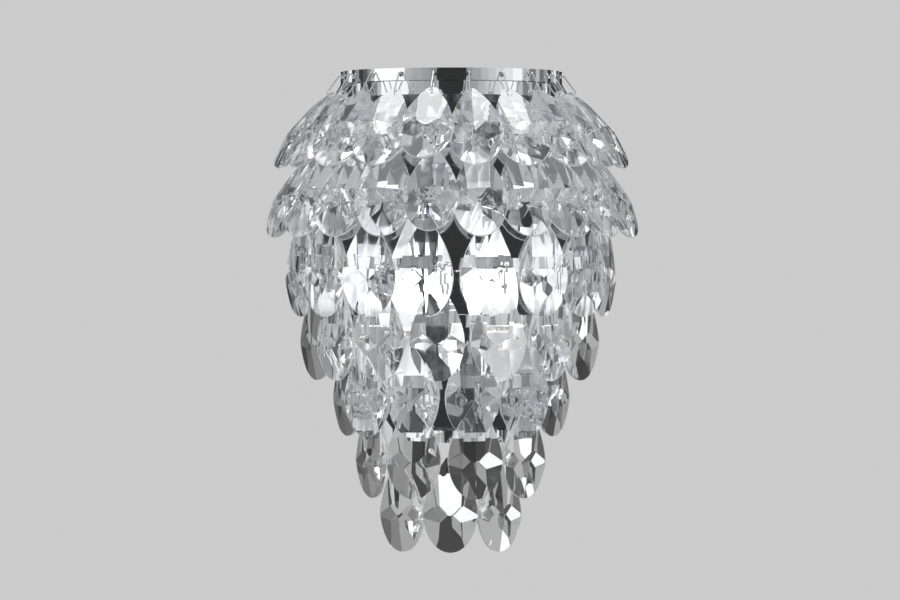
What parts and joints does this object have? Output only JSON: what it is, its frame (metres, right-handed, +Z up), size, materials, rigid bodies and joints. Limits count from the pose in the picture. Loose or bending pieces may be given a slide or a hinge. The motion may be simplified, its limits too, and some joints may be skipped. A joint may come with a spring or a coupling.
{
  "type": "crystal wall sconce",
  "caption": "Half-round wall light with tiers of faceted pear-shaped crystal drops hung by wire clips from chrome bands on a wall plate.",
  "frame": {"origin": "middle of the wall bracket's screw pattern, on the wall face", "axes": "+Z up, +Y into the wall, the light faces -Y"},
  "size_m": [0.2449, 0.1474, 0.318],
  "materials": {
    "crystal": "polished cut lead crystal, clear",
    "clip_wire": "bright drawn wire",
    "band_chrome": "mirror chrome strip",
    "plate_chrome": "mirror chrome sheet",
    "zinc_steel": "zinc-plated steel",
    "nut_chrome": "polished chrome",
    "arm_chrome": "polished chrome tube",
    "holder_plastic": "glazed white",
    "lamp_brass": "plated lamp cap",
    "lamp_glass": "frosted lit lamp glass"
  },
  "bodies": {
    "frame": {"wire_clips": "clip_wire", "top_band": "band_chrome", "set_back_band": "band_chrome", "lower_bands": "band_chrome", "back_plate": "plate_chrome", "wall_bracket": "zinc_steel", "bracket_studs": "zinc_steel", "cap_nuts": "nut_chrome", "lamp_arms": "arm_chrome", "lamp_holders": "holder_plastic", "lamp_bases": "lamp_brass", "lamp_bulbs": "lamp_glass"},
    "crystal_tier1_01": {"crystal_tier1_01": "crystal"},
    "crystal_tier1_02": {"crystal_tier1_02": "crystal"},
    "crystal_tier1_03": {"crystal_tier1_03": "crystal"},
    "crystal_tier1_04": {"crystal_tier1_04": "crystal"},
    "crystal_tier1_05": {"crystal_tier1_05": "crystal"},
    "crystal_tier1_06": {"crystal_tier1_06": "crystal"},
    "crystal_tier1_07": {"crystal_tier1_07": "crystal"},
    "crystal_tier1_08": {"crystal_tier1_08": "crystal"},
    "crystal_tier1_09": {"crystal_tier1_09": "crystal"},
    "crystal_tier1_10": {"crystal_tier1_10": "crystal"},
    "crystal_tier2_01": {"crystal_tier2_01": "crystal"},
    "crystal_tier2_02": {"crystal_tier2_02": "crystal"},
    "crystal_tier2_03": {"crystal_tier2_03": "crystal"},
    "crystal_tier2_04": {"crystal_tier2_04": "crystal"},
    "crystal_tier2_05": {"crystal_tier2_05": "crystal"},
    "crystal_tier2_06": {"crystal_tier2_06": "crystal"},
    "crystal_tier2_07": {"crystal_tier2_07": "crystal"},
    "crystal_tier2_08": {"crystal_tier2_08": "crystal"},
    "crystal_tier2_09": {"crystal_tier2_09": "crystal"},
    "crystal_tier2_10": {"crystal_tier2_10": "crystal"},
    "crystal_tier3_01": {"crystal_tier3_01": "crystal"},
    "crystal_tier3_02": {"crystal_tier3_02": "crystal"},
    "crystal_tier3_03": {"crystal_tier3_03": "crystal"},
    "crystal_tier3_04": {"crystal_tier3_04": "crystal"},
    "crystal_tier3_05": {"crystal_tier3_05": "crystal"},
    "crystal_tier3_06": {"crystal_tier3_06": "crystal"},
    "crystal_tier3_07": {"crystal_tier3_07": "crystal"},
    "crystal_tier3_08": {"crystal_tier3_08": "crystal"},
    "crystal_tier4_01": {"crystal_tier4_01": "crystal"},
    "crystal_tier4_02": {"crystal_tier4_02": "crystal"},
    "crystal_tier4_03": {"crystal_tier4_03": "crystal"},
    "crystal_tier4_04": {"crystal_tier4_04": "crystal"},
    "crystal_tier4_05": {"crystal_tier4_05": "crystal"},
    "crystal_tier4_06": {"crystal_tier4_06": "crystal"},
    "crystal_tier4_07": {"crystal_tier4_07": "crystal"},
    "crystal_tier5_01": {"crystal_tier5_01": "crystal"},
    "crystal_tier5_02": {"crystal_tier5_02": "crystal"},
    "crystal_tier5_03": {"crystal_tier5_03": "crystal"},
    "crystal_tier5_04": {"crystal_tier5_04": "crystal"},
    "crystal_tier5_05": {"crystal_tier5_05": "crystal"},
    "crystal_tier5_06": {"crystal_tier5_06": "crystal"},
    "crystal_tier6_01": {"crystal_tier6_01": "crystal"},
    "crystal_tier6_02": {"crystal_tier6_02": "crystal"},
    "crystal_tier6_03": {"crystal_tier6_03": "crystal"},
    "crystal_tier6_04": {"crystal_tier6_04": "crystal"},
    "crystal_tier7_01": {"crystal_tier7_01": "crystal"},
    "crystal_tier7_02": {"crystal_tier7_02": "crystal"},
    "crystal_tier7_03": {"crystal_tier7_03": "crystal"}
  },
  "joints": [
    {"name": "sway_tier1_01", "type": "hinge", "parent": "frame", "child": "crystal_tier1_01", "pos_m": [-0.07983, -0.02964, 0.06812], "axis": [-0.7087, -0.4083, 0.5753], "range_deg": [-5, 0]},
    {"name": "sway_tier1_02", "type": "hinge", "parent": "frame", "child": "crystal_tier1_02", "pos_m": [-0.07202, -0.05369, 0.06812], "axis": [-0.5479, -0.6073, 0.5753], "range_deg": [-5, 0]},
    {"name": "sway_tier1_03", "type": "hinge", "parent": "frame", "child": "crystal_tier1_03", "pos_m": [-0.05715, -0.07415, 0.06812], "axis": [-0.3334, -0.7469, 0.5753], "range_deg": [-5, 0]},
    {"name": "sway_tier1_04", "type": "hinge", "parent": "frame", "child": "crystal_tier1_04", "pos_m": [-0.03669, -0.08902, 0.06812], "axis": [-0.0863, -0.8134, 0.5753], "range_deg": [-5, 0]},
    {"name": "sway_tier1_05", "type": "hinge", "parent": "frame", "child": "crystal_tier1_05", "pos_m": [-0.01281, -0.09786, 0.06898], "axis": [-0.1163, -0.7342, 0.669], "range_deg": [-2, 2]},
    {"name": "sway_tier1_06", "type": "hinge", "parent": "frame", "child": "crystal_tier1_06", "pos_m": [0.01264, -0.09683, 0.06812], "axis": [-0.1693, -0.8002, 0.5753], "range_deg": [0, 5]},
    {"name": "sway_tier1_07", "type": "hinge", "parent": "frame", "child": "crystal_tier1_07", "pos_m": [0.03669, -0.08902, 0.06812], "axis": [0.0863, -0.8134, 0.5753], "range_deg": [0, 5]},
    {"name": "sway_tier1_08", "type": "hinge", "parent": "frame", "child": "crystal_tier1_08", "pos_m": [0.05715, -0.07415, 0.06812], "axis": [0.3334, -0.7469, 0.5753], "range_deg": [0, 5]},
    {"name": "sway_tier1_09", "type": "hinge", "parent": "frame", "child": "crystal_tier1_09", "pos_m": [0.07202, -0.05369, 0.06812], "axis": [0.5479, -0.6073, 0.5753], "range_deg": [0, 5]},
    {"name": "sway_tier1_10", "type": "hinge", "parent": "frame", "child": "crystal_tier1_10", "pos_m": [0.07983, -0.02964, 0.06812], "axis": [0.7087, -0.4083, 0.5753], "range_deg": [0, 5]},
    {"name": "sway_tier2_01", "type": "hinge", "parent": "frame", "child": "crystal_tier2_01", "pos_m": [-0.09087, -0.04918, 0.02688], "axis": [-0.7135, -0.5272, 0.4614], "range_deg": [-5, 0]},
    {"name": "sway_tier2_02", "type": "hinge", "parent": "frame", "child": "crystal_tier2_02", "pos_m": [-0.07848, -0.07298, 0.02688], "axis": [-0.5406, -0.7035, 0.4614], "range_deg": [-5, 0]},
    {"name": "sway_tier2_03", "type": "hinge", "parent": "frame", "child": "crystal_tier2_03", "pos_m": [-0.06001, -0.09245, 0.02688], "axis": [-0.3257, -0.8252, 0.4614], "range_deg": [-5, 0]},
    {"name": "sway_tier2_04", "type": "hinge", "parent": "frame", "child": "crystal_tier2_04", "pos_m": [-0.03689, -0.10607, 0.02688], "axis": [-0.0856, -0.883, 0.4614], "range_deg": [-5, 0]},
    {"name": "sway_tier2_05", "type": "hinge", "parent": "frame", "child": "crystal_tier2_05", "pos_m": [-0.01104, -0.11394, 0.02758], "axis": [-0.0944, -0.8282, 0.5524], "range_deg": [-2, 2]},
    {"name": "sway_tier2_06", "type": "hinge", "parent": "frame", "child": "crystal_tier2_06", "pos_m": [0.01591, -0.11208, 0.02688], "axis": [-0.1152, -0.8797, 0.4614], "range_deg": [0, 5]},
    {"name": "sway_tier2_07", "type": "hinge", "parent": "frame", "child": "crystal_tier2_07", "pos_m": [0.0415, -0.10401, 0.02688], "axis": [0.1317, -0.8774, 0.4614], "range_deg": [0, 5]},
    {"name": "sway_tier2_08", "type": "hinge", "parent": "frame", "child": "crystal_tier2_08", "pos_m": [0.06388, -0.0892, 0.02688], "axis": [0.3685, -0.8071, 0.4614], "range_deg": [0, 5]},
    {"name": "sway_tier2_09", "type": "hinge", "parent": "frame", "child": "crystal_tier2_09", "pos_m": [0.08131, -0.0688, 0.02688], "axis": [0.5766, -0.6742, 0.4614], "range_deg": [0, 5]},
    {"name": "sway_tier2_10", "type": "hinge", "parent": "frame", "child": "crystal_tier2_10", "pos_m": [0.09243, -0.04438, 0.02688], "axis": [0.7401, -0.4892, 0.4614], "range_deg": [0, 5]},
    {"name": "sway_tier3_01", "type": "hinge", "parent": "frame", "child": "crystal_tier3_01", "pos_m": [-0.0988, -0.04026, -0.018], "axis": [-0.8337, -0.5523, 0], "range_deg": [-4, 4]},
    {"name": "sway_tier3_02", "type": "hinge", "parent": "frame", "child": "crystal_tier3_02", "pos_m": [-0.08237, -0.0763, -0.018], "axis": [-0.6797, -0.7335, 0], "range_deg": [-4, 4]},
    {"name": "sway_tier3_03", "type": "hinge", "parent": "frame", "child": "crystal_tier3_03", "pos_m": [-0.05341, -0.10331, -0.018], "axis": [-0.2773, -0.9608, 0], "range_deg": [-4, 4]},
    {"name": "sway_tier3_04", "type": "hinge", "parent": "frame", "child": "crystal_tier3_04", "pos_m": [-0.01632, -0.11718, -0.018], "axis": [-0.2227, -0.9749, 0], "range_deg": [-4, 4]},
    {"name": "sway_tier3_05", "type": "hinge", "parent": "frame", "child": "crystal_tier3_05", "pos_m": [0.02326, -0.1158, -0.018], "axis": [0.2068, -0.9784, 0], "range_deg": [-4, 4]},
    {"name": "sway_tier3_06", "type": "hinge", "parent": "frame", "child": "crystal_tier3_06", "pos_m": [0.0593, -0.09937, -0.018], "axis": [0.4759, -0.8795, 0], "range_deg": [-4, 4]},
    {"name": "sway_tier3_07", "type": "hinge", "parent": "frame", "child": "crystal_tier3_07", "pos_m": [0.08631, -0.07041, -0.018], "axis": [0.5821, -0.8131, 0], "range_deg": [-4, 4]},
    {"name": "sway_tier3_08", "type": "hinge", "parent": "frame", "child": "crystal_tier3_08", "pos_m": [0.10018, -0.03332, -0.018], "axis": [0.9049, -0.4255, 0], "range_deg": [-4, 4]},
    {"name": "sway_tier4_01", "type": "hinge", "parent": "frame", "child": "crystal_tier4_01", "pos_m": [-0.08851, -0.0263, -0.06], "axis": [-0.8061, -0.5918, 0], "range_deg": [-4, 4]},
    {"name": "sway_tier4_02", "type": "hinge", "parent": "frame", "child": "crystal_tier4_02", "pos_m": [-0.07548, -0.06416, -0.06], "axis": [-0.7428, -0.6695, 0], "range_deg": [-4, 4]},
    {"name": "sway_tier4_03", "type": "hinge", "parent": "frame", "child": "crystal_tier4_03", "pos_m": [-0.04716, -0.09248, -0.06], "axis": [-0.3526, -0.9358, 0], "range_deg": [-4, 4]},
    {"name": "sway_tier4_04", "type": "hinge", "parent": "frame", "child": "crystal_tier4_04", "pos_m": [-0.0093, -0.10551, -0.06], "axis": [-0.0286, -0.9996, 0], "range_deg": [-4, 4]},
    {"name": "sway_tier4_05", "type": "hinge", "parent": "frame", "child": "crystal_tier4_05", "pos_m": [0.03044, -0.10063, -0.06], "axis": [0.1401, -0.9901, 0], "range_deg": [-4, 4]},
    {"name": "sway_tier4_06", "type": "hinge", "parent": "frame", "child": "crystal_tier4_06", "pos_m": [0.06402, -0.07882, -0.06], "axis": [0.6401, -0.7683, 0], "range_deg": [-4, 4]},
    {"name": "sway_tier4_07", "type": "hinge", "parent": "frame", "child": "crystal_tier4_07", "pos_m": [0.08464, -0.0445, -0.06], "axis": [0.7471, -0.6647, 0], "range_deg": [-4, 4]},
    {"name": "sway_tier5_01", "type": "hinge", "parent": "frame", "child": "crystal_tier5_01", "pos_m": [-0.06835, -0.02148, -0.097], "axis": [-0.8634, -0.5044, 0], "range_deg": [-4, 4]},
    {"name": "sway_tier5_02", "type": "hinge", "parent": "frame", "child": "crystal_tier5_02", "pos_m": [-0.05524, -0.0575, -0.097], "axis": [-0.5881, -0.8088, 0], "range_deg": [-4, 4]},
    {"name": "sway_tier5_03", "type": "hinge", "parent": "frame", "child": "crystal_tier5_03", "pos_m": [-0.02483, -0.08084, -0.097], "axis": [-0.3688, -0.9295, 0], "range_deg": [-4, 4]},
    {"name": "sway_tier5_04", "type": "hinge", "parent": "frame", "child": "crystal_tier5_04", "pos_m": [0.01336, -0.08418, -0.097], "axis": [0.255, -0.9669, 0], "range_deg": [-4, 4]},
    {"name": "sway_tier5_05", "type": "hinge", "parent": "frame", "child": "crystal_tier5_05", "pos_m": [0.04737, -0.06648, -0.097], "axis": [0.4695, -0.8829, 0], "range_deg": [-4, 4]},
    {"name": "sway_tier5_06", "type": "hinge", "parent": "frame", "child": "crystal_tier5_06", "pos_m": [0.06654, -0.03328, -0.097], "axis": [0.8027, -0.5964, 0], "range_deg": [-4, 4]},
    {"name": "sway_tier6_01", "type": "hinge", "parent": "frame", "child": "crystal_tier6_01", "pos_m": [-0.05192, -0.03798, -0.1375], "axis": [-0.8222, -0.5692, 0], "range_deg": [-4, 4]},
    {"name": "sway_tier6_02", "type": "hinge", "parent": "frame", "child": "crystal_tier6_02", "pos_m": [-0.02455, -0.06733, -0.1375], "axis": [-0.2087, -0.978, 0], "range_deg": [-4, 4]},
    {"name": "sway_tier6_03", "type": "hinge", "parent": "frame", "child": "crystal_tier6_03", "pos_m": [0.01544, -0.07083, -0.1375], "axis": [0.1395, -0.9902, 0], "range_deg": [-4, 4]},
    {"name": "sway_tier6_04", "type": "hinge", "parent": "frame", "child": "crystal_tier6_04", "pos_m": [0.04749, -0.04668, -0.1375], "axis": [0.6461, -0.7633, 0], "range_deg": [-4, 4]},
    {"name": "sway_tier7_01", "type": "hinge", "parent": "frame", "child": "crystal_tier7_01", "pos_m": [-0.03204, -0.0355, -0.173], "axis": [-0.5948, -0.8039, 0], "range_deg": [-4, 4]},
    {"name": "sway_tier7_02", "type": "hinge", "parent": "frame", "child": "crystal_tier7_02", "pos_m": [-0.00065, -0.05399, -0.173], "axis": [-0.036, -0.9994, 0], "range_deg": [-4, 4]},
    {"name": "sway_tier7_03", "type": "hinge", "parent": "frame", "child": "crystal_tier7_03", "pos_m": [0.03138, -0.03661, -0.173], "axis": [0.6106, -0.7919, 0], "range_deg": [-4, 4]}
  ]
}
